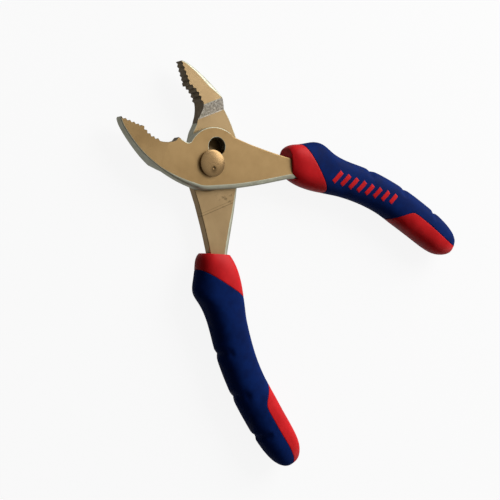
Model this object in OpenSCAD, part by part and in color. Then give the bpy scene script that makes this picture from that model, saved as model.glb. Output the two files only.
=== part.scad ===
// Slip joint pliers, lying open: two forged halves lapped at a pivot bolt that slips between two lobes.
// The pivot axis is Z. The back of the rear half lies on Z = 0 and the closed pliers lie along Y, jaws up.

/* [Pliers] */
// Distance from the pivot axis to the jaw tips
jaw_len = 49; // [44:0.5:56]
// Distance from the pivot axis to the ends of the handles
handle_len = 152; // [140:1:170]
// Angle between the two halves as the pliers lie open
open_angle = 48; // [40:1:54]
// Distance from the pivot axis to the centre plane that the closed jaws meet on
pivot_offset = 3; // [2.5:0.1:3.4]

/* [Steel halves] */
// Thickness of each of the two lapped plates, so the jaws are twice as thick
plate_t = 4.8; // [4.3:0.1:5.1]
// Gap between the two lapped plates
lap_gap = 0.1; // [0.06:0.01:0.2]
// Width of a jaw from the centre plane to its back
jaw_w = 16.8; // [15:0.1:18]
// Radius of the round lap at the joint
lap_r = 14.5; // [13.6:0.1:15.5]
// Distance from the pivot axis to the foot of the lap's ramp on the jaw side
lap_y = 20.8; // [20.4:0.1:22]
// Length of the ramp from the lap up to the jaw's full thickness
ramp_len = 6; // [2:0.1:8]
// Thickness of the jaws at their tips
nose_t = 5; // [4.4:0.1:8.4]
// Distance from the pivot axis to the collar, along the bare tang
tang_len = 37; // [34:0.5:40]
// Width of the tang's tail inside the grip
tail_w = 8; // [6:0.1:9]

/* [Jaw grip] */
// Gap between the closed jaws
jaw_gap = 0.3; // [0.2:0.05:0.6]
// Number of straight teeth on the nose
nose_teeth = 4; // [3:1:8]
// Depth of the nose teeth
nose_tooth_h = 0.7; // [0.3:0.05:1]
// Radius of the hollow that grips a pipe
pipe_r = 13.5; // [12.5:0.1:15]
// Depth of that hollow below the centre plane
pipe_depth = 3.6; // [3:0.1:4.2]
// Number of coarse teeth in the hollow
pipe_teeth = 5; // [3:1:7]
// Depth of the coarse teeth
pipe_tooth_h = 0.9; // [0.4:0.05:1.2]

/* [Slip pivot] */
// Diameter of the pivot bolt's shank
bolt_d = 8.6; // [8:0.1:9.2]
// Distance across the two flats of the shank
bolt_flats = 5.8; // [5.2:0.1:6.2]
// Running clearance of the shank in the slot, on each side
slot_clear = 0.06; // [0.03:0.01:0.1]
// Distance between the two lobes of the slot
lobe_step = 8.5; // [7.5:0.1:8.8]
// Diameter of the domed cap
cap_d = 12.6; // [12:0.1:14]
// Height of the domed cap
cap_h = 2; // [1.8:0.1:3.6]
// Height of the straight rim under the cap's dome
cap_rim = 1.4; // [0.4:0.1:1.6]
// Diameter of the punch mark in the cap
punch_d = 1.8; // [1:0.1:2.2]
// Depth of the punch mark
punch_depth = 0.5; // [0.2:0.05:0.6]
// Distance of the punch mark from the middle of the cap
punch_off = 2.3; // [1.5:0.1:3]
// Diameter of the stub that carries the cap
stub_d = 5; // [4:0.1:5.2]
// Running clearance of the cap on the stub, on each side
stub_clear = 0.03; // [0.02:0.01:0.08]
// Diameter of the bolt's flat head, let into the back of the rear half
head_d = 12; // [11:0.1:13]
// Thickness of the bolt's flat head
head_t = 2; // [1.5:0.1:2.4]
// Clearance of the bolt in the rear half, on each side
key_clear = 0.02; // [0.01:0.01:0.05]

/* [Grips] */
// Distance from the centre plane to the hip behind a grip's collar
grip_out = 30.7; // [29.5:0.1:33]
// Largest distance from the centre plane to the inner side of a grip
grip_in = 12.2; // [11.8:0.1:13.5]
// Greatest thickness of a grip
grip_t = 16.6; // [16:0.1:20]
// Wall of the soft cover over the hard core
cover_wall = 2; // [1.6:0.1:2.3]
// Rounding of the collar's end
collar_round = 1.5; // [0.8:0.1:2]

/* [Hidden] */
$fn = 64;

joint_t = 2 * plate_t;
half_gap = lap_gap / 2;
grip_len = handle_len - tang_len;
overrun = joint_t;
flush_gap = key_clear;
curve_steps = 6;
ring_steps = 2;
ring_sides = 20;
section_power = 2.7;
// Direction of the punch mark from the middle of the cap
punch_angle = 211;

// Outlines are drawn on the front half, with the centre plane at X = 0, its jaw at -X and its handle at +X.
// Jaw back from the tip to the heel, in jaw_w and jaw_len
jaw_back_shares = [[-0.07, 1], [-0.22, 0.955], [-0.46, 0.84], [-0.69, 0.695], [-0.84, 0.55],
  [-0.935, 0.41], [-0.99, 0.265], [-1, 0.12], [-0.96, -0.01]];
// Inner and outer edges of the bare tang, in lap_r and tang_len
tang_inner_shares = [[-0.86, -0.24], [-0.55, -0.49], [-0.12, -0.79], [0.45, -1.15]];
tang_outer_shares = [[1.16, -1.15], [1.1, -1.03], [1.01, -0.76], [0.935, -0.44]];
// Where the round lap's arc starts, where it ends on the front and on the rear half, and how far its centre
// lies towards the handles, in lap_r
lap_start_angle = -24;
front_lap_end = 72;
rear_lap_end = 57;
lap_drop_share = 0.07;
// Wire notch from the lap up to the cusp on the front half, in pipe_depth and lap_y
notch_shares = [[0.62, 0.64], [0.36, 0.7], [0.34, 0.8], [0.52, 0.955]];
// Plain edge that shears past the notch on the rear half, in pipe_depth and lap_y
shear_shares = [[1.58, 0.68], [1.2, 0.77], [0.74, 0.845], [0.2, 0.93]];
// Middle of the pipe hollow along the jaw, in jaw_len, and where the teeth start on its arc
pipe_middle_share = 0.605;
pipe_tooth_start_share = 0.42;
// Where the straight teeth of the nose start and end, in jaw_len
nose_start_share = 0.8;
nose_end_share = 0.975;

// Edges of a grip seen from above, as places along grip_len with distances in grip_out and grip_in
outer_edge_shares = [[0, 0.73], [0.07, 0.86], [0.125, 0.985], [0.155, 1], [0.2, 0.95], [0.25, 0.925],
  [0.31, 0.93], [0.39, 0.96], [0.475, 0.975], [0.565, 0.96], [0.65, 0.93], [0.73, 0.88], [0.815, 0.815],
  [0.895, 0.735], [0.955, 0.635], [0.985, 0.54]];
inner_edge_shares = [[0.065, 0.52], [0.12, 0.52], [0.17, 0.56], [0.205, 0.61], [0.245, 0.69], [0.295, 0.79],
  [0.345, 0.885], [0.415, 0.97], [0.495, 1], [0.575, 0.96], [0.655, 0.82], [0.74, 0.68], [0.82, 0.525],
  [0.89, 0.42], [0.945, 0.46], [0.98, 0.67]];
// Half thickness along the grip, in grip_t
thick_shares = [[0, 0.46], [0.08, 0.475], [0.16, 0.5], [0.3, 0.475], [0.45, 0.465], [0.6, 0.48],
  [0.75, 0.485], [0.87, 0.46], [0.945, 0.39], [0.985, 0.25]];
// Places along the outer and the inner edge that each ring of the grip joins
ring_shares = [[0, 0.065], [0.03, 0.16], [0.06, 0.25], [0.105, 0.3], [0.15, 0.335], [0.2, 0.37],
  [0.26, 0.405], [0.33, 0.44], [0.41, 0.475], [0.5, 0.51], [0.59, 0.54], [0.69, 0.575], [0.777, 0.61],
  [0.83, 0.7], [0.875, 0.79], [0.92, 0.87], [0.955, 0.93], [0.985, 0.98]];
// How far each of the first rings is drawn in, in collar_round
collar_round_shares = [[0, 1], [1, 0.25], [2, 0]];
// The collar ends at one ring, and the inner pad starts at another
collar_ring = 2;
pad_ring = 12;
// End of the handle, as a distance in grip_out
end_share = 0.405;
// Places along the grip that the tang's tail passes, and its width at its end
tail_shares = [0.2, 0.3, 0.4, 0.5, 0.6, 0.68];
tail_end_share = 0.7;

// Point between p[i] and p[i + 1] on a smooth curve through all of p
function curve_point(p, i, t) =
  let (a = p[max(i - 1, 0)], b = p[i], c = p[i + 1], d = p[min(i + 2, len(p) - 1)])
  (2 * b + (c - a) * t + (2 * a - 5 * b + 4 * c - d) * t * t + (3 * b - a - 3 * c + d) * t * t * t) / 2;
function curve(p, steps) = [
  for (i = [0 : len(p) - 2]) for (k = [0 : steps - 1]) curve_point(p, i, k / steps),
  p[len(p) - 1]
];
function scaled(shares, x_size, y_size) = [for (s = shares) [s.x * x_size, s.y * y_size]];
function arc(centre, r, from, to, steps) = [
  for (k = [0 : steps]) let (a = from + (to - from) * k / steps) centre + r * [cos(a), sin(a)]
];

// Edges of the grip at a place along it
outer_edge = curve(outer_edge_shares, curve_steps);
inner_edge = curve(inner_edge_shares, curve_steps);
thickness = curve(thick_shares, curve_steps);
function outer_at(s) = [lookup(s, outer_edge) * grip_out, -tang_len - s * grip_len];
function inner_at(s) = [lookup(s, inner_edge) * grip_in, -tang_len - s * grip_len];
rings = curve(ring_shares, ring_steps);
ring_last = len(rings) - 1;
collar_end = collar_ring * ring_steps;
pad_start = pad_ring * ring_steps;
pad_sides = [ring_sides / 4, 3 * ring_sides / 4];

// Rounded oblong that ring i makes between the two edges, drawn in by inset and at the collar's end
function section_wave(v) = sign(v) * pow(abs(v), 2 / section_power);
function grip_ring(i, inset) =
  let (
    outer = outer_at(rings[i].x),
    inner = inner_at(rings[i].y),
    middle = (outer + inner) / 2,
    across = (outer - inner) / 2,
    drawn_in = inset + lookup(i, collar_round_shares) * collar_round,
    fit = 1 - drawn_in / min(abs(across.x), norm(across)),
    half_t = lookup((rings[i].x + rings[i].y) / 2, thickness) * grip_t
  ) [
    for (k = [0 : ring_sides - 1]) let (
      a = 360 * k / ring_sides,
      p = middle + across * fit * section_wave(cos(a))
    ) [p.x, p.y, plate_t + (half_t - drawn_in) * section_wave(sin(a))]
  ];

// Points of the outer skin, then of the skin under the cover, then the two ends and the collar's middle
skin_points = (ring_last + 1) * ring_sides;
grip_points = concat(
  [for (i = [0 : ring_last]) each grip_ring(i, 0)],
  [for (i = [0 : ring_last]) each grip_ring(i, cover_wall)],
  [
    [end_share * grip_out, -handle_len, plate_t],
    [end_share * grip_out, -handle_len + cover_wall, plate_t],
    concat((outer_at(rings[0].x) + inner_at(rings[0].y)) / 2, [plate_t])
  ]
);
outer_end = 2 * skin_points;
under_end = outer_end + 1;
collar_middle = outer_end + 2;
// Skins: 0 is the outer one and 1 the one under the cover. The ring after the last is the end point.
function skin_point(skin, i, k) = i > ring_last
  ? (skin == 0 ? outer_end : under_end)
  : skin * skin_points + i * ring_sides + k % ring_sides;
function quad(a, b, c, d) = c == d ? [[a, b, c]] : [[a, b, c], [a, c, d]];
function cell(skin, i, k) = quad(skin_point(skin, i, k), skin_point(skin, i, k + 1),
  skin_point(skin, i + 1, k + 1), skin_point(skin, i + 1, k));
function turned(faces) = [for (f = faces) [f[2], f[1], f[0]]];
// Walls between the skins, across the grip at ring i and along it at side k
function cross_wall(i, k) = quad(skin_point(0, i, k), skin_point(1, i, k),
  skin_point(1, i, k + 1), skin_point(0, i, k + 1));
function long_wall(i, k) = quad(skin_point(0, i, k), skin_point(0, i + 1, k),
  skin_point(1, i + 1, k), skin_point(1, i, k));
function in_pad(i, k) = i >= pad_start && k >= pad_sides[0] && k < pad_sides[1];
function in_core_skin(i, k) = i < collar_end || in_pad(i, k);
all_sides = [0 : ring_sides - 1];
pad_range = [pad_sides[0] : pad_sides[1] - 1];
cover_rings = [collar_end : ring_last];
border_walls = concat(
  [for (k = all_sides) each cross_wall(collar_end, k)],
  [for (k = pad_range) each turned(cross_wall(pad_start, k))],
  [for (i = [pad_start : ring_last]) each long_wall(i, pad_sides[1])],
  [for (i = [pad_start : ring_last]) each turned(long_wall(i, pad_sides[0]))]
);
module grip_core_solid() polyhedron(grip_points, concat(
  [for (i = [0 : ring_last]) for (k = all_sides) each cell(in_core_skin(i, k) ? 0 : 1, i, k)],
  [for (k = all_sides) [collar_middle, skin_point(0, 0, k + 1), skin_point(0, 0, k)]],
  turned(border_walls)
));
module grip_cover() polyhedron(grip_points, concat(
  [for (i = cover_rings) for (k = all_sides) if (!in_core_skin(i, k)) each cell(0, i, k)],
  [for (i = cover_rings) for (k = all_sides) if (!in_core_skin(i, k)) each turned(cell(1, i, k))],
  border_walls
));

// Steel outline of one half
pipe_centre = [pipe_r - pipe_depth, pipe_middle_share * jaw_len];
pipe_half_angle = acos((pipe_r - pipe_depth + jaw_gap / 2) / pipe_r);
function pipe_angle(share) = 180 + pipe_half_angle * (1 - 2 * share);
function pipe_radius(k) = pipe_r - (k % 2) * pipe_tooth_h;
pipe_smooth_edge = arc(pipe_centre, pipe_r, pipe_angle(0), pipe_angle(pipe_tooth_start_share), curve_steps);
pipe_teeth_edge = [
  for (k = [0 : 2 * pipe_teeth]) let (
    tooth_share = k / (2 * pipe_teeth),
    a = pipe_angle(pipe_tooth_start_share + (1 - pipe_tooth_start_share) * tooth_share)
  ) pipe_centre + pipe_radius(k) * [cos(a), sin(a)]
];
nose_edge = [
  for (k = [0 : 2 * nose_teeth]) [
    -jaw_gap / 2 - (1 - k % 2) * nose_tooth_h,
    jaw_len * (nose_start_share + (nose_end_share - nose_start_share) * k / (2 * nose_teeth))
  ]
];
function tail_point(i, side) =
  let (
    outer = outer_at(tail_shares[i]),
    inner = inner_at(tail_shares[i]),
    taper = 1 - (1 - tail_end_share) * i / (len(tail_shares) - 1)
  ) (outer + inner) / 2 + [side * taper * tail_w / 2, 0];
tail_last = len(tail_shares) - 1;
jaw_back = scaled(jaw_back_shares, jaw_w, jaw_len);
tang_inner = scaled(tang_inner_shares, lap_r, tang_len);
tail_and_outer = concat(
  [for (i = [0 : tail_last]) tail_point(i, -1)],
  [for (i = [tail_last : -1 : 0]) tail_point(i, 1)],
  curve(scaled(tang_outer_shares, lap_r, tang_len), curve_steps)
);
tang_outline = concat(curve(tang_inner, curve_steps), tail_and_outer);
function half_outline(throat_shares, lap_end) = concat(
  curve(concat(jaw_back, tang_inner), curve_steps),
  tail_and_outer,
  arc([0, -lap_drop_share * lap_r], lap_r, lap_start_angle, lap_end, 3 * curve_steps),
  curve(scaled(throat_shares, pipe_depth, lap_y), curve_steps),
  pipe_smooth_edge,
  pipe_teeth_edge,
  nose_edge,
  [[-jaw_gap / 2, jaw_len]]
);

// Shank outline with its two flats along X
module shank_outline(grow) {
  intersection() {
    circle(d = bolt_d + 2 * grow);
    square([bolt_d + overrun, bolt_flats + 2 * grow], center = true);
  }
}
module slot_outline() {
  circle(d = bolt_d + 2 * slot_clear);
  translate([lobe_step, 0]) circle(d = bolt_d + 2 * slot_clear);
  translate([0, -bolt_flats / 2 - slot_clear]) square([lobe_step, bolt_flats + 2 * slot_clear]);
}

// One half at full thickness, less the half of it that the other plate laps over
module lap_cut() {
  depth = plate_t + half_gap;
  far = handle_len + overrun;
  slope = ramp_len / plate_t;
  translate([-far, 0, 0]) rotate([90, 0, 90]) linear_extrude(2 * far) polygon([
    [-far, -overrun], [lap_y + ramp_len + overrun * slope, -overrun],
    [lap_y - half_gap * slope, depth], [-far, depth]
  ]);
}
// Wedge off one face of the jaw, which tapers it from the ramp to the tip
module nose_cut() {
  start = lap_y + ramp_len / 2;
  drop = (joint_t - nose_t) / 2;
  far = jaw_len + overrun;
  slope = drop / (jaw_len - start);
  translate([-far, 0, 0]) rotate([90, 0, 90]) linear_extrude(2 * far) polygon([
    [start, joint_t], [far, joint_t - slope * (far - start)],
    [far, joint_t + overrun], [start, joint_t + overrun]
  ]);
}
module half_blank(throat_shares, lap_end) {
  difference() {
    linear_extrude(joint_t) polygon(half_outline(throat_shares, lap_end));
    lap_cut();
    nose_cut();
    translate([0, 0, joint_t]) mirror([0, 0, 1]) nose_cut();
  }
}

// Places of the two halves: the rear one is the mirror image, turned over and opened about the pivot
module front_place() translate([pivot_offset, 0, 0]) children();
module rear_place() rotate([0, 0, -open_angle]) front_place() mirror([1, 0, 0]) children();

// Hollow that the tang leaves in a core, from z_low up
module tang_pocket(z_low) {
  translate([0, 0, z_low]) linear_extrude(plate_t - half_gap) polygon(tang_outline);
}

module front_half() {
  color("tan") difference() {
    front_place() half_blank(notch_shares, front_lap_end);
    translate([0, 0, plate_t - overrun]) linear_extrude(joint_t + overrun) slot_outline();
  }
}
module rear_half() {
  color("tan") difference() {
    rear_place() translate([0, 0, joint_t]) mirror([0, 0, 1]) half_blank(shear_shares, rear_lap_end);
    translate([0, 0, -overrun]) linear_extrude(joint_t + overrun) shank_outline(key_clear);
    translate([0, 0, -overrun]) cylinder(d = head_d + 2 * key_clear, h = overrun + head_t + flush_gap);
  }
}
module pivot_bolt() {
  color("silver") union() {
    cylinder(d = head_d, h = head_t);
    linear_extrude(joint_t) shank_outline(0);
    cylinder(d = stub_d, h = joint_t + cap_h / 2);
  }
}
module pivot_cap() {
  dome_h = cap_h - cap_rim;
  dome_r = (cap_d * cap_d / 4 + dome_h * dome_h) / (2 * dome_h);
  punch_r = (punch_d * punch_d / 4 + punch_depth * punch_depth) / (2 * punch_depth);
  top = joint_t + flush_gap + cap_h;
  color("silver") difference() {
    intersection() {
      translate([0, 0, joint_t + flush_gap]) cylinder(d = cap_d, h = cap_h);
      translate([0, 0, top - dome_r]) sphere(r = dome_r, $fn = 4 * $fn);
    }
    cylinder(d = stub_d + 2 * stub_clear, h = joint_t + cap_h / 2 + stub_clear);
    rotate([0, 0, punch_angle]) translate([punch_off, 0, top + punch_r - punch_depth]) sphere(r = punch_r);
  }
}
module front_grip_core() color("firebrick") front_place() difference() {
  grip_core_solid();
  tang_pocket(plate_t + half_gap);
}
module front_grip_cover() color("midnightblue") front_place() grip_cover();
module rear_grip_core() color("firebrick") rear_place() difference() {
  grip_core_solid();
  tang_pocket(0);
}
module rear_grip_cover() color("midnightblue") rear_place() grip_cover();

front_half();
rear_half();
pivot_bolt();
pivot_cap();
front_grip_core();
front_grip_cover();
rear_grip_core();
rear_grip_cover();
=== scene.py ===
# %% [markdown]
# # Slip joint pliers
# Two forged steel halves lap over each other at a pivot that slips between two lobes of a slot.
# Each handle has a hard red moulding, which shows as a collar and as a pad at the end, under a soft
# blue cover. The frame brings every piece in at its real size and place, so nothing is moved here.
# This lesson gives each piece its edges, its surface and its finish.

import math

import bpy
from mathutils import Matrix, Vector


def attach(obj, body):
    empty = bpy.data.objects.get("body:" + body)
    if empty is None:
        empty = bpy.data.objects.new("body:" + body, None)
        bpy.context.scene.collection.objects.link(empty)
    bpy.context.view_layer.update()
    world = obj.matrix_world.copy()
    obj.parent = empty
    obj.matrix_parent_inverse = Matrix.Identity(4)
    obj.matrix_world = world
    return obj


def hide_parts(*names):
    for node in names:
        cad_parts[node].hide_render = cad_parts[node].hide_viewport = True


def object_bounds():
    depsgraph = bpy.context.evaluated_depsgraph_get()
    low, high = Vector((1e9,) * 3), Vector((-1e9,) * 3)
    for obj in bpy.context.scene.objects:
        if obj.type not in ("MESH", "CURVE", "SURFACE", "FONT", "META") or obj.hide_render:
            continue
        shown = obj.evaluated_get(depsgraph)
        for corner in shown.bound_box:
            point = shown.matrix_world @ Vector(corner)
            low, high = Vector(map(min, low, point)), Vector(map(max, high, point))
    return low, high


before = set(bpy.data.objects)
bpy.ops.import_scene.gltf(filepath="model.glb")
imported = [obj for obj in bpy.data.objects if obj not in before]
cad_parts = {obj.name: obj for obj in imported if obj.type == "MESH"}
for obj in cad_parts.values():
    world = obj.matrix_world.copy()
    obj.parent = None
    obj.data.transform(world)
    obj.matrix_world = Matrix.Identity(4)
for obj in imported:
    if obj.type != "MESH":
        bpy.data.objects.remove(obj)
cad_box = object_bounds()
MM = 0.001
print("frame:", sorted(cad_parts))

# %% [markdown]
# ## Camera
# The pliers lie on a table and are seen from above, from the left of the picture. A camera could be
# aimed with a constraint, but a product picture is easier to match with plain turns: one about Z sets
# the picture's right-hand direction, then the camera leans to the left and rolls a little. It stands
# far enough off for the handles to keep their proportions.

# %% Camera
PICTURE_SIDE = 500
SENSOR_MM = 36
picture_turn = math.radians(-71.7)
lean_left = math.radians(-31)
lean_down = math.radians(1)
roll = math.radians(2)
camera_distance = 600 * MM
pixels_per_mm = 2.14
aim_right = 20.4 * MM
aim_up = -40.2 * MM
lap_height = 4.8 * MM

camera_turn = (
    Matrix.Rotation(picture_turn, 4, "Z")
    @ Matrix.Rotation(lean_left, 4, "Y")
    @ Matrix.Rotation(lean_down, 4, "X")
    @ Matrix.Rotation(roll, 4, "Z")
)
camera_place = camera_turn @ Vector((aim_right, aim_up, camera_distance)) + Vector((0, 0, lap_height))
camera_data = bpy.data.cameras.new("camera")
camera_data.sensor_width = SENSOR_MM
camera_data.lens = pixels_per_mm / MM * camera_distance * SENSOR_MM / PICTURE_SIDE
camera = bpy.data.objects.new("camera", camera_data)
camera.matrix_world = Matrix.Translation(camera_place) @ camera_turn
bpy.context.scene.collection.objects.link(camera)
bpy.context.scene.camera = camera
print("camera: lens", round(camera_data.lens, 1), "mm")

# %% [markdown]
# ## Tools of the lesson
# An operator acts on whatever is selected, so each step first selects one object and nothing else.
# Faces, edges and points are then picked in edit mode, by their place or by the way they face.

# %% Selecting
def select_only(piece):
    """Makes a piece the one selected object."""
    bpy.ops.object.select_all(action="DESELECT")
    piece.select_set(True)
    bpy.context.view_layer.objects.active = piece


def edit(piece, mode):
    """Opens a piece in edit mode with nothing selected."""
    select_only(piece)
    bpy.ops.object.mode_set(mode="EDIT")
    bpy.ops.mesh.select_mode(type=mode)
    bpy.ops.mesh.select_all(action="DESELECT")


def pick(piece, chosen):
    """Opens a piece in edit mode with the points selected for which the list says yes."""
    edit(piece, "VERT")
    bpy.ops.object.mode_set(mode="OBJECT")
    for point, wanted in zip(piece.data.vertices, chosen):
        point.select = wanted
    bpy.ops.object.mode_set(mode="EDIT")


print("tools: select, edit, pick points")

# %% Modifiers and shading
def apply_modifier(piece, kind, **settings):
    """Adds a modifier with its settings and applies it."""
    select_only(piece)
    modifier = piece.modifiers.new(kind.lower(), kind)
    for name, value in settings.items():
        setattr(modifier, name, value)
    bpy.ops.object.modifier_apply(modifier=modifier.name)


def even_shading(piece):
    """Smooth shading in which the large flat faces stay flat and only the bevels turn the light."""
    select_only(piece)
    bpy.ops.object.shade_smooth()
    apply_modifier(piece, "WEIGHTED_NORMAL", weight=100, keep_sharp=False)


print("tools: apply a modifier, even the shading")

# %% Copying a piece of the frame
weld_distance = 0.002 * MM


def copy_of(node, name):
    """A new piece with the shape of a frame node, its loose triangles merged into one skin."""
    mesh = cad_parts[node].data.copy()
    piece = bpy.data.objects.new(name, mesh)
    bpy.context.scene.collection.objects.link(piece)
    mesh.materials.clear()
    edit(piece, "VERT")
    bpy.ops.mesh.select_all(action="SELECT")
    bpy.ops.mesh.remove_doubles(threshold=weld_distance)
    bpy.ops.mesh.customdata_custom_splitnormals_clear()
    bpy.ops.object.mode_set(mode="OBJECT")
    return piece


print("copies: points are merged within", round(weld_distance / MM, 4), "mm")

# %% [markdown]
# ## Materials
# Every finish is made of nodes, so it holds at any distance and needs no picture. One function adds a
# node with its settings and links, and one turns a colour written as sRGB hex into the linear numbers
# that a shader needs. The others are short names for the nodes that every finish uses.

# %% Colours and nodes
def linear(hex_colour):
    """The linear colour of an sRGB hex value such as #a1845a."""
    channels = [int(hex_colour[i:i + 2], 16) / 255 for i in (1, 3, 5)]
    return [c / 12.92 if c <= 0.04045 else ((c + 0.055) / 1.055) ** 2.4 for c in channels] + [1]


def new_material(name):
    """A material with no nodes yet."""
    material = bpy.data.materials.new(name)
    material.use_nodes = True
    material.node_tree.nodes.clear()
    return material


def add(material, kind, settings=None, **inputs):
    """Adds a node. An input that is a socket is linked, and any other value is set on the socket."""
    tree = material.node_tree
    node = tree.nodes.new(kind)
    for name, value in (settings or {}).items():
        setattr(node, name, value)
    for name, value in inputs.items():
        by_number = name[0] == "i" and name[1:].isdigit()
        socket = node.inputs[int(name[1:]) if by_number else name.replace("_", " ")]
        if isinstance(value, bpy.types.NodeSocket):
            tree.links.new(value, socket)
        else:
            socket.default_value = value
    return node


print("materials: colours and nodes ready")

# %% Values in a material
def maths(material, operation, *values, clamp=False):
    """One step of arithmetic on numbers or sockets."""
    inputs = {"i" + str(i): value for i, value in enumerate(values)}
    node = add(material, "ShaderNodeMath", {"operation": operation, "use_clamp": clamp}, **inputs)
    return node.outputs[0]


def spread(material, value, source, target=(0, 1)):
    """Carries a value from one range to another and holds it at the ends."""
    node = add(
        material, "ShaderNodeMapRange", Value=value,
        From_Min=source[0], From_Max=source[1], To_Min=target[0], To_Max=target[1],
    )
    return node.outputs["Result"]


def blend(material, share, start, end):
    """The colour at a share of the way from one colour to another."""
    node = add(material, "ShaderNodeMix", {"data_type": "RGBA"}, i0=share, i6=start, i7=end)
    return node.outputs[2]


def per_mm(size_mm):
    """The texture scale whose pattern repeats about every size_mm, on Object coordinates in metres."""
    return 1 / (size_mm * MM)


def noise(material, place, size_mm, detail, roughness=0.5):
    """Noise with patches of about size_mm, from 0 to 1."""
    node = add(
        material, "ShaderNodeTexNoise", Vector=place, Scale=per_mm(size_mm), Detail=detail,
        Roughness=roughness,
    )
    return node.outputs["Fac"]


print("materials: values ready")

# %% Skin of a material
# Noise keeps near its middle, so these two ranges of it hold most or nearly all of what it gives.
noise_most = (0.35, 0.65)
noise_nearly_all = (0.3, 0.7)


def skin(material, colour, roughness, height, bump_strength, depth_mm, **settings):
    """Closes a material: its colour, its roughness and the fine relief of its surface."""
    bump = add(
        material, "ShaderNodeBump", Strength=bump_strength, Distance=depth_mm * MM, Height=height,
    )
    shader = add(
        material, "ShaderNodeBsdfPrincipled", Base_Color=colour, Roughness=roughness,
        Normal=bump.outputs["Normal"], **settings,
    )
    add(material, "ShaderNodeOutputMaterial", Surface=shader.outputs["BSDF"])
    return material


print("materials: skin ready")

# %% [markdown]
# ## Ground steel
# The broad faces of the halves are forged carbon steel, ground flat and plated. A brushed look could
# come from an anisotropic shader, but the export drops that, so the grain is a stretched noise in the
# colour, the roughness and the bump. The eye gets a warm, satin tan with a fine grain and a few soft
# clouds where the plating is thicker. The rear half also shows where the cutter stopped on its lap: two
# fine lines across the tang, with dark smudges beside them. Round the pivot its lap has a dark ring of
# painted shade, which makes the open lobe of the slot look deep.

# %% Distances in a material
def metres(sizes_mm):
    """Sizes in millimetres, in metres."""
    return [size * MM for size in sizes_mm]


def from_point(steel, place, point_mm):
    """How far a place is from a point."""
    away = add(steel, "ShaderNodeVectorMath", {"operation": "DISTANCE"}, i0=place, i1=metres(point_mm))
    return away.outputs["Value"]


def from_pivot(steel, place):
    """How far a place is from the pivot's axis."""
    flat = add(steel, "ShaderNodeVectorMath", {"operation": "MULTIPLY"}, i0=place, i1=(1, 1, 0))
    away = add(steel, "ShaderNodeVectorMath", {"operation": "LENGTH"}, i0=flat.outputs["Vector"])
    return away.outputs["Value"]


print("distances: from a point, from the pivot's axis")

# %% Marks and painted slot shade on the rear half
pivot_offset = 3 * MM
open_turn = math.radians(48)
lap_step = 0.3 * MM
line_darkness = {-21.9: 0.55, -20.7: 0.3}
line_half_width = 0.14 * MM
smudge_middle_mm = (4, -17.5, 4.8)
smudge_fade_mm = (2.5, 6)
smudge_mm = 2.4
smudge_noise = (0.54, 0.68)
smudge_darkness = 0.8
# Painted shade: a dark ring about the pivot on the rear lap, seen through the open lobe of the slot.
slot_shade_start_mm = (6, 9)
slot_shade_end_mm = (12.4, 13.2)
slot_shade_inner = 0.2


def grease(steel, place, height):
    """How dark the painted shade under the slot is: a ring about the pivot, on the lap alone."""
    away = from_pivot(steel, place)
    inner = spread(steel, away, metres(slot_shade_start_mm), (slot_shade_inner, 1))
    outer = spread(steel, away, metres(slot_shade_end_mm), (1, 0))
    on_lap = maths(steel, "COMPARE", height, lap_height, lap_step)
    return maths(steel, "MULTIPLY", maths(steel, "MULTIPLY", inner, outer), on_lap)


def rear_marks(steel, place):
    """How dark the cutter's lines, the smudges and the painted slot shade are at a place, from 0 to 1.
    """
    axes = add(steel, "ShaderNodeSeparateXYZ", Vector=place)
    blots = noise(steel, place, smudge_mm, 5, 0.65)
    spots = spread(steel, blots, smudge_noise, (0, smudge_darkness))
    zone = spread(steel, from_point(steel, place, smudge_middle_mm), metres(smudge_fade_mm), (1, 0))
    # The painted slot shade joins the smudges here.
    marks_and_shade = maths(steel, "MULTIPLY_ADD", spots, zone, grease(steel, place, axes.outputs["Z"]))
    for line_mm, darkness in line_darkness.items():
        beside = maths(steel, "COMPARE", axes.outputs["Y"], line_mm * MM, line_half_width)
        marks_and_shade = maths(steel, "MULTIPLY_ADD", beside, darkness, marks_and_shade)
    return marks_and_shade


print("rear half: cutter lines at", sorted(line_darkness), "mm")

# %% Ground steel
grinding_mm = (0.5, 9, 0.5)
grinding_depth_mm = 0.02
plating_mm = 14
plating_tone = (-0.05, 0.55)
grinding_tone = 0.5
# Colour of the cutter's marks and smudges, and of the painted shade in the slot and at the cap's rim.
mark_and_shade_colour = "#3a2c1a"
satin = (0.38, 0.5)


def ground_steel(name, light, dark, grain_turn, marks_and_shade=None, roughness_range=satin):
    """Plate whose grinding grain lies at one turn, darker where a function of the place says so."""
    steel = new_material(name)
    place = add(steel, "ShaderNodeTexCoord").outputs["Object"]
    turned = add(steel, "ShaderNodeMapping", Vector=place, Rotation=(0, 0, grain_turn)).outputs["Vector"]
    grain = add(steel, "ShaderNodeMapping", Vector=turned, Scale=[per_mm(size) for size in grinding_mm])
    scratches = add(
        steel, "ShaderNodeTexNoise", Vector=grain.outputs["Vector"], Scale=1, Detail=5, Roughness=0.68,
    ).outputs["Fac"]
    clouds = spread(steel, noise(steel, place, plating_mm, 3, 0.6), noise_most, plating_tone)
    streaked = maths(steel, "MULTIPLY_ADD", scratches, grinding_tone, clouds, clamp=True)
    colour = blend(steel, streaked, linear(dark), linear(light))
    if marks_and_shade:
        # Real marks and painted shade both darken the colour here.
        colour = blend(steel, marks_and_shade(steel, turned), colour, linear(mark_and_shade_colour))
    roughness = spread(steel, scratches, noise_nearly_all, roughness_range)
    return skin(steel, colour, roughness, scratches, 0.12, grinding_depth_mm, Metallic=1)


front_face = ground_steel("plated steel, ground front", "#9a7f57", "#886e49", -picture_turn)
rear_face = ground_steel("plated steel, ground rear", "#9f8763", "#8c7554", open_turn, rear_marks)
print("ground steel:", front_face.name, "|", rear_face.name)

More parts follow.
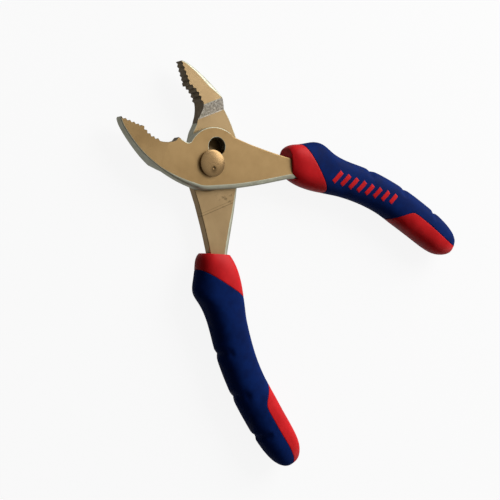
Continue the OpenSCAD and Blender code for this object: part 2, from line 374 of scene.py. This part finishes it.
# %% [markdown]
# ## Forged flanks, hardened teeth and the milled ramp
# The flanks keep the skin of the forging: greyer, rougher, with shallow dimples a millimetre or two
# wide. The teeth are hardened by heat, which leaves a dark scale on them. The ramp up to each jaw is
# milled last and left bare, so it is a bright, mottled grey. All three are noises at the size of the
# real marks, and the flank and the teeth share one function.

# %% Flank and teeth
dimple_mm = 1.6
dimple_depth_mm = 0.08
scale_mm = 6
blasted = (0.42, 0.58)


def forging_skin(name, light, dark):
    """The skin of a forging: dimpled, stained by scale, a little uneven in gloss."""
    steel = new_material(name)
    place = add(steel, "ShaderNodeTexCoord").outputs["Object"]
    dimples = noise(steel, place, dimple_mm, 3)
    colour = blend(steel, noise(steel, place, scale_mm, 2), linear(dark), linear(light))
    roughness = spread(steel, dimples, noise_nearly_all, blasted)
    return skin(steel, colour, roughness, dimples, 0.3, dimple_depth_mm, Metallic=1)


flank_steel = forging_skin("forged steel, shot blasted", "#b6b6a4", "#989682")
tooth_steel = forging_skin("forged steel, hardened teeth", "#7a6c54", "#4c402e")
print("flank and teeth: dimples", dimple_mm, "mm wide")

# %% Ramp
milling_mm = 0.9
milling_depth_mm = 0.2
milling_noise = (0.38, 0.62)


def milled_ramp(name, light, dark):
    """Bare milled steel, frosted by the cutter: bright flecks on a mottled grey."""
    steel = new_material(name)
    place = add(steel, "ShaderNodeTexCoord").outputs["Object"]
    flecks = noise(steel, place, milling_mm, 5, 0.7)
    colour = blend(steel, spread(steel, flecks, milling_noise), linear(dark), linear(light))
    return skin(steel, colour, 0.55, flecks, 0.9, milling_depth_mm, Metallic=0.4)


ramp_steel = milled_ramp("carbon steel, end milled", "#eee8db", "#958a78")
print("ramp: milling marks", milling_mm, "mm")

# %% [markdown]
# ## The two mouldings
# The collar and the end pad are hard polypropylene: smooth, half glossy, an even red. The cover is a
# soft thermoplastic rubber moulded over it. It is matte and a little blotchy, with a fine grain. One
# function makes both, because they differ only in colour, gloss and grain.

# %% Mouldings
def moulding(name, light, dark, cloud_mm, grain_mm, grain_depth_mm, roughness_range, gloss):
    """A moulded skin: a colour that drifts over a few millimetres and a fine grain in the surface."""
    plastic = new_material(name)
    place = add(plastic, "ShaderNodeTexCoord").outputs["Object"]
    clouds = noise(plastic, place, cloud_mm, 4)
    grain = noise(plastic, place, grain_mm, 2)
    colour = blend(plastic, spread(plastic, clouds, noise_most), linear(dark), linear(light))
    roughness = spread(plastic, clouds, noise_most, roughness_range)
    return skin(
        plastic, colour, roughness, grain, 0.35, grain_depth_mm, IOR=1.49, Specular_IOR_Level=gloss,
    )


red_moulding = moulding(
    "polypropylene, moulded red", "#ec2026", "#d8181e",
    cloud_mm=9, grain_mm=0.7, grain_depth_mm=0.02, roughness_range=(0.38, 0.46), gloss=0.12,
)
blue_moulding = moulding(
    "soft rubber, moulded blue", "#0d2a6c", "#0a215a",
    cloud_mm=5, grain_mm=0.6, grain_depth_mm=0.04, roughness_range=(0.55, 0.68), gloss=0.04,
)
print("mouldings:", red_moulding.name, "|", blue_moulding.name)

# %% [markdown]
# ## Steel halves
# The frame's halves are right in outline but have knife edges. A forging has none: its jaw backs and
# the inner edges of its tangs are round, and only the teeth and the slot are crisp. Each half could be
# remodelled by hand, but one bevel modifier does it on a copy, because the bevel weight of an edge sets
# how wide that edge's bevel is. The width comes from the edge's place in the drawing of its half.

# %% Place in the drawing of a half
def in_half(point, side):
    """A point in the drawing of its half: the tip up, the centre plane at X = 0, its own jaw at -X."""
    if side == "front":
        return Vector((point.x - pivot_offset, point.y, point.z))
    turned = Matrix.Rotation(open_turn, 3, "Z") @ point
    return Vector((pivot_offset - turned.x, turned.y, 2 * lap_height - point.z))


def facing_in_half(face, side):
    """The way a face faces, in the drawing of its half."""
    return in_half(face.center + face.normal, side) - in_half(face.center, side)


print("pivot in its drawing:", [round(c / MM, 1) for c in in_half(Vector(), "front")], "mm")

# %% Width of an edge's bevel
jaw_mouth_start = 19 * MM
jaw_length = 49 * MM
jaw_thick = 35 * MM
ramp_top = 27 * MM
heel = 4 * MM
heel_round_end = 23 * MM
lobe_step = 8.5 * MM
slot_zone = 6.5 * MM
tang_start = -4 * MM
tang_full = -36 * MM
upper_plate = 1.5 * lap_height
width_mm = {"crisp": 0.16, "slot": 0.3, "lap": 0.35, "outer tang": 0.5, "tip": 0.5, "round": 2.2}


def between(value, start, end):
    """How far a value has gone from start to end, from 0 to 1."""
    return min(max((value - start) / (end - start), 0), 1)


def mix(start, end, share):
    """The number at a share of the way from start to end."""
    return start + (end - start) * share


def edge_width_mm(middle, side, wall_facing):
    """How wide an edge's bevel is, from its middle and from the way the wall beside it faces."""
    drawn = in_half(middle, side)
    along_slot = min(max(middle.x, 0), lobe_step)
    on_lap = abs(drawn.z - lap_height) < lap_step
    if (middle.xy - Vector((along_slot, 0))).length < slot_zone:
        return width_mm["slot"]
    if wall_facing is None:
        return 0 if on_lap else width_mm["lap"]
    if wall_facing > 0 and drawn.y > jaw_mouth_start:
        return width_mm["crisp"]
    along_tang = between(drawn.y, tang_start, tang_full)
    if wall_facing > 0:
        return mix(width_mm["lap"], width_mm["outer tang"], along_tang)
    if drawn.z > upper_plate:
        return mix(width_mm["round"], width_mm["tip"], between(drawn.y, heel, heel_round_end))
    if on_lap:
        return mix(width_mm["lap"], width_mm["round"], along_tang)
    swell = min(between(drawn.y, ramp_top, jaw_thick), between(drawn.y, jaw_length, jaw_thick))
    return mix(width_mm["tip"], width_mm["round"], swell)


print("bevels:", width_mm["crisp"], "to", width_mm["round"], "mm")

# %% Soften the edges of a half
sharp_edge = math.radians(35)
flat_join = math.radians(0.5)
wall_tilt = 0.3
jaw_fold = 23.8 * MM


def walls_beside(mesh, side):
    """For each edge of an upright wall, how far the wall faces away from its own jaw, from -1 to 1."""
    walls = {}
    for face in mesh.polygons:
        facing = facing_in_half(face, side)
        if abs(facing.z) < wall_tilt:
            for key in face.edge_keys:
                walls[key] = max(walls.get(key, -1), facing.x)
    return walls


def soften(piece, side):
    """Joins the flat faces of a half and bevels each sharp edge by what it belongs to.

    A cut along the fold of the jaw gives the walls an edge there, which the bevel slides along.
    """
    across = Matrix.Rotation(-open_turn if side == "rear" else 0, 3, "Z") @ Vector((0, 1, 0))
    edit(piece, "EDGE")
    bpy.ops.mesh.select_all(action="SELECT")
    bpy.ops.mesh.dissolve_limited(angle_limit=flat_join)
    bpy.ops.mesh.select_all(action="SELECT")
    bpy.ops.mesh.bisect(plane_co=across * jaw_fold, plane_no=across)
    bpy.ops.mesh.select_all(action="DESELECT")
    bpy.ops.mesh.edges_select_sharp(sharpness=sharp_edge)
    bpy.ops.object.mode_set(mode="OBJECT")
    mesh = piece.data
    walls = walls_beside(mesh, side)
    weights = mesh.attributes.new("bevel_weight_edge", "FLOAT", "EDGE")
    for edge in mesh.edges:
        if edge.select:
            middle = sum((mesh.vertices[i].co for i in edge.vertices), Vector()) / 2
            width = edge_width_mm(middle, side, walls.get(edge.key))
            weights.data[edge.index].value = width / width_mm["round"]
    apply_modifier(
        piece, "BEVEL", limit_method="WEIGHT", width=width_mm["round"] * MM, segments=4,
        use_clamp_overlap=False,
    )
    even_shading(piece)


print("fold of the jaw:", round(jaw_fold / MM, 1), "mm from the pivot")

# %% Front and rear half
GROUND, FORGED, MILLED, TEETH = range(4)
level_face = 0.985
level_side = 0.08
ramp_tilt = (0.4, 0.95)
ramp_facing = 0.3
ramp_zone = (19.5 * MM, 28 * MM)


def surface_of(face, side):
    """Which finish a face of a half has, as its place in the half's list of materials."""
    drawn = in_half(face.center, side)
    facing = facing_in_half(face, side)
    if abs(facing.z) > level_face and abs(facing.x) < level_side:
        return GROUND
    on_ramp = ramp_zone[0] < drawn.y < ramp_zone[1] and ramp_tilt[0] < abs(facing.z) < ramp_tilt[1]
    if on_ramp and -facing.y > ramp_facing:
        return MILLED
    if facing.x > 0 and drawn.y > jaw_mouth_start:
        return TEETH
    return GROUND if facing.x > 0 and drawn.y < tang_start else FORGED


def finish_half(node, side, face_material, body):
    """A half with its bevels and its four finishes."""
    piece = copy_of(node, node + "_forged")
    soften(piece, side)
    for material in (face_material, flank_steel, ramp_steel, tooth_steel):
        piece.data.materials.append(material)
    for face in piece.data.polygons:
        face.material_index = surface_of(face, side)
    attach(piece, body)
    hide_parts(node)
    print(piece.name, len(piece.data.polygons), "faces")


finish_half("front_half", "front", front_face, "front_body")
finish_half("rear_half", "rear", rear_face, "rear_body")

# %% [markdown]
# ## Pivot
# The domed cap and the bolt's flat head are turned parts. Their rims get a small bevel, which is where
# a turned part catches the light. The cap is hammered over the bolt's end, which rounds its shoulder, so
# the ring of points at its rim is pulled down with proportional editing. Its plate is smoother than the
# faces of the halves, so one side of the dome shines, and the punch mark has a dark stain about it. Its
# colour is also painted darker towards the rim, as painted shade on the edge of the dome.

# %% Pivot steel
stain_middle_mm = (-2.6, -1.4, 11.5)
stain_fade_mm = (0.6, 2.2)
stain_darkness = 0.6
# Painted shade: the cap darkens towards its rim, as the edge of the dome would in shade.
rim_shade_fade_mm = (3.6, 6.3)
rim_shade_darkness = 0.3
polish = (0.2, 0.3)


def cap_marks(steel, place):
    """How dark the stain about the punch mark and the painted shade at the rim are at a place, from 0 to
    1.
    """
    away = from_point(steel, place, stain_middle_mm)
    stain = spread(steel, away, metres(stain_fade_mm), (stain_darkness, 0))
    # Painted shade at the rim of the dome.
    rim = spread(steel, from_pivot(steel, place), metres(rim_shade_fade_mm), (0, rim_shade_darkness))
    return maths(steel, "ADD", stain, rim)


pivot_face = ground_steel("plated steel, polished pivot", "#9a7e58", "#866b48", 0, cap_marks, polish)
print("pivot steel:", pivot_face.name)

# %% Pivot
shoulder_drop = 0.4 * MM
shoulder_width = 1.6 * MM


def round_shoulder(piece):
    """Pulls the upper rim of the cap down, and the dome beside it less and less."""
    points = [point.co for point in piece.data.vertices]
    rim = max(point.xy.length for point in points)
    middle = sum(point.z for point in points) / len(points)
    pick(piece, [point.xy.length > rim - weld_distance and point.z > middle for point in points])
    bpy.ops.transform.translate(
        value=(0, 0, -shoulder_drop), use_proportional_edit=True, proportional_edit_falloff="SMOOTH",
        proportional_size=shoulder_width, use_proportional_connected=True,
    )
    bpy.ops.object.mode_set(mode="OBJECT")
    print(piece.name, "shoulder at", round(rim / MM, 2), "mm")


def finish_pivot(node, body, rim_bevel, domed):
    """A turned part with a bevelled rim, and a rounded shoulder where it is domed."""
    piece = copy_of(node, node + "_turned")
    if domed:
        round_shoulder(piece)
    apply_modifier(
        piece, "BEVEL", limit_method="ANGLE", angle_limit=sharp_edge, width=rim_bevel, segments=3,
    )
    even_shading(piece)
    piece.data.materials.append(pivot_face)
    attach(piece, body)
    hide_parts(node)
    print(piece.name, len(piece.data.polygons), "faces")


finish_pivot("pivot_cap", "slip_body", rim_bevel=0.3 * MM, domed=True)
finish_pivot("pivot_bolt", "rear_body", rim_bevel=0.25 * MM, domed=False)

# %% [markdown]
# ## Grips
# A grip is a red core with a blue cover over it. In a copy of each the triangles are joined back into a
# net of four-sided faces. The border where the colours meet gets a fine bevel, which makes the dark
# line between them, and a subdivision surface rounds the rest.

# %% Grips
border_bevel = 0.35 * MM
border_angle = math.radians(50)
quad_fold = math.radians(60)
quad_skew = math.radians(120)


def finish_grip(node, material, body):
    """A moulded piece with a smooth skin and a fine bevel along its borders."""
    piece = copy_of(node, node + "_moulded")
    edit(piece, "EDGE")
    bpy.ops.mesh.select_all(action="SELECT")
    bpy.ops.mesh.tris_convert_to_quads(face_threshold=quad_fold, shape_threshold=quad_skew)
    bpy.ops.mesh.select_all(action="DESELECT")
    bpy.ops.mesh.edges_select_sharp(sharpness=border_angle)
    bpy.ops.mesh.bevel(offset=border_bevel, segments=2, affect="EDGES", clamp_overlap=False)
    bpy.ops.object.mode_set(mode="OBJECT")
    apply_modifier(piece, "SUBSURF", levels=2, render_levels=2)
    select_only(piece)
    bpy.ops.object.shade_smooth()
    piece.data.materials.append(material)
    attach(piece, body)
    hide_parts(node)
    print(piece.name, len(piece.data.polygons), "faces")
    return piece


covers = {}
for half in ("front", "rear"):
    finish_grip(half + "_grip_core", red_moulding, half + "_body")
    covers[half] = finish_grip(half + "_grip_cover", blue_moulding, half + "_body")

# %% [markdown]
# ## Thumb notches
# The outer edge of each cover has three small notches that keep a thumb from sliding. A notch could be
# cut with a boolean, but the soft moulding has no sharp cut anywhere. So the points along the line of
# a notch are selected and sunk with proportional editing, which drags their neighbours along less and
# less, as a fingertip does in clay.

# %% Thumb notches
notch_places = [-86.2 * MM, -108.3 * MM, -131.1 * MM]
notch_reach = 4 * MM
notch_line = 0.75 * MM
notch_depth = 0.75 * MM
notch_width = 2.2 * MM


def sink_notch(piece, side, place):
    """Sinks one notch across the outer edge, at a place along the handle."""
    drawn = [in_half(point.co, side) for point in piece.data.vertices]
    edge = max(spot.x for spot in drawn if abs(spot.y - place) < notch_line)
    pick(piece, [abs(spot.y - place) < notch_line and spot.x > edge - notch_reach for spot in drawn])
    bpy.ops.transform.shrink_fatten(
        value=-notch_depth, use_proportional_edit=True, proportional_edit_falloff="SMOOTH",
        proportional_size=notch_width,
    )
    bpy.ops.object.mode_set(mode="OBJECT")
    return round(edge / MM, 1)


for half, cover in covers.items():
    edges = [sink_notch(cover, half, place) for place in notch_places]
    print(cover.name, "notches", edges, "mm from the centre plane")

# %% [markdown]
# ## Bars
# On the front cover a row of slanted red bars lets the core's colour through. Each starts as a flat
# grid above the grip. A shrinkwrap lays it on the cover, a solidify gives it its thickness, most of it
# under the surface, and a bevel takes off the edge.

# %% Row of flat bars
bar_count = 8
row_start = Vector((20.2, -66.5)) * MM
row_end = Vector((22.8, -102)) * MM
bar_size = (Vector((7, 2.3)) * MM, Vector((5.6, 2.2)) * MM)
bar_slant = math.radians(-24)
row_height = 25 * MM


def flat_bar(share):
    """One flat bar above the grip, at a share of the way along the row."""
    middle = row_start.lerp(row_end, share)
    size = bar_size[0].lerp(bar_size[1], share)
    bpy.ops.object.select_all(action="DESELECT")
    bpy.ops.mesh.primitive_grid_add(
        x_subdivisions=10, y_subdivisions=4, size=1, location=(middle.x, middle.y, row_height),
        rotation=(0, 0, bar_slant),
    )
    bar = bpy.context.object
    bar.scale = (size.x, size.y, 1)
    bpy.ops.object.transform_apply(location=True, rotation=True, scale=True)
    return bar


row = [flat_bar(i / (bar_count - 1)) for i in range(bar_count)]
for bar in row:
    bar.select_set(True)
bpy.ops.object.join()
bars = bpy.context.object
bars.name = "front_grip_bars"
print(bars.name, bar_count, "flat bars")

# %% Bars on the cover
bar_rise = 0.12 * MM
bar_depth = 0.6 * MM
apply_modifier(
    bars, "SHRINKWRAP", target=covers["front"], wrap_method="PROJECT", use_project_z=True,
    use_negative_direction=True, use_positive_direction=False, offset=bar_rise,
)
apply_modifier(bars, "SOLIDIFY", thickness=bar_depth, offset=-1)
apply_modifier(
    bars, "BEVEL", limit_method="ANGLE", angle_limit=border_angle, width=bar_rise / 2, segments=2,
)
even_shading(bars)
bars.data.materials.append(red_moulding)
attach(bars, "front_body")
print(bars.name, len(bars.data.polygons), "faces")

# %% [markdown]
# ## Studio
# A wide pale floor lies under the grips. To the camera it is nearly white, in reflections it is
# greyer, and it keeps a soft shadow. A large soft lamp stands low to the upper right of the picture,
# and a weak one at the lower right, which lifts the ramp and the cap's rim.

# %% Floor
floor_size = 6
camera_white = 0.9
gloss_white = 0.45


def pale_floor():
    """A pale board: nearly white to the camera, greyer in reflections, and still taking a shadow."""
    floor = new_material("painted board, pale")
    path = add(floor, "ShaderNodeLightPath").outputs
    glossy = maths(floor, "MAXIMUM", path["Is Glossy Ray"], path["Is Transmission Ray"])
    reflected = maths(floor, "MULTIPLY", glossy, gloss_white)
    share = maths(floor, "MULTIPLY_ADD", path["Is Camera Ray"], camera_white, reflected)
    tone = blend(floor, path["Is Camera Ray"], linear("#505050"), linear("#fafafa"))
    board = add(floor, "ShaderNodeBsdfDiffuse", Color=tone)
    white = add(floor, "ShaderNodeEmission", Color=(1, 1, 1, 1), Strength=1)
    mixed = add(floor, "ShaderNodeMixShader", i0=share, i1=board.outputs[0], i2=white.outputs[0])
    add(floor, "ShaderNodeOutputMaterial", Surface=mixed.outputs[0])
    return floor


bpy.ops.object.select_all(action="DESELECT")
bpy.ops.mesh.primitive_plane_add(size=floor_size, location=(0, 0, cad_box[0].z))
stage_floor = bpy.context.object
stage_floor.name = "floor"
bpy.ops.object.transform_apply(location=True, rotation=True, scale=True)
stage_floor.data.materials.append(pale_floor())
print("floor at", round(cad_box[0].z / MM, 2), "mm")

# %% Lamps
def towards(side_deg, height_deg):
    """A direction by its side in the picture, from the right-hand side round to the top, and height."""
    around = picture_turn + math.radians(side_deg)
    height = math.radians(height_deg)
    flat = math.cos(height)
    return Vector((math.cos(around) * flat, math.sin(around) * flat, math.sin(height)))


def lamp(name, away, distance, size, power):
    """A square lamp that looks at the middle of the pliers, with sizes in metres and power in watts."""
    data = bpy.data.lights.new(name, "AREA")
    data.size = size
    data.energy = power
    thing = bpy.data.objects.new(name, data)
    thing.location = (cad_box[0] + cad_box[1]) / 2 + away * distance
    thing.rotation_euler = (-away).to_track_quat("-Z", "Y").to_euler()
    bpy.context.scene.collection.objects.link(thing)
    print(name, power, "W")


lamp("main_lamp", towards(45, 28), distance=1.1, size=0.9, power=12)
lamp("fill_lamp", towards(-35, 10), distance=1.1, size=0.8, power=2.2)

# %% World
room_span = (-0.1, 0.85)
room_light = (0.03, 0.95)
diffuse_share = 0.3

world = bpy.data.worlds.new("studio")
bpy.context.scene.world = world
world.use_nodes = True
world.node_tree.nodes.clear()
path = add(world, "ShaderNodeLightPath").outputs
ray = add(world, "ShaderNodeTexCoord").outputs["Generated"]
facing = add(world, "ShaderNodeVectorMath", {"operation": "DOT_PRODUCT"}, i0=ray, i1=towards(45, 35))
room = spread(world, facing.outputs["Value"], room_span, room_light)
softer = spread(world, path["Is Glossy Ray"], (0, 1), (diffuse_share, 1))
strength = maths(world, "MAXIMUM", path["Is Camera Ray"], maths(world, "MULTIPLY", room, softer))
sky = add(world, "ShaderNodeBackground", Color=(1, 1, 1, 1), Strength=strength)
add(world, "ShaderNodeOutputWorld", Surface=sky.outputs[0])
bpy.context.scene.view_settings.view_transform = "Standard"
print("world: white to the camera, dark at the lower left")
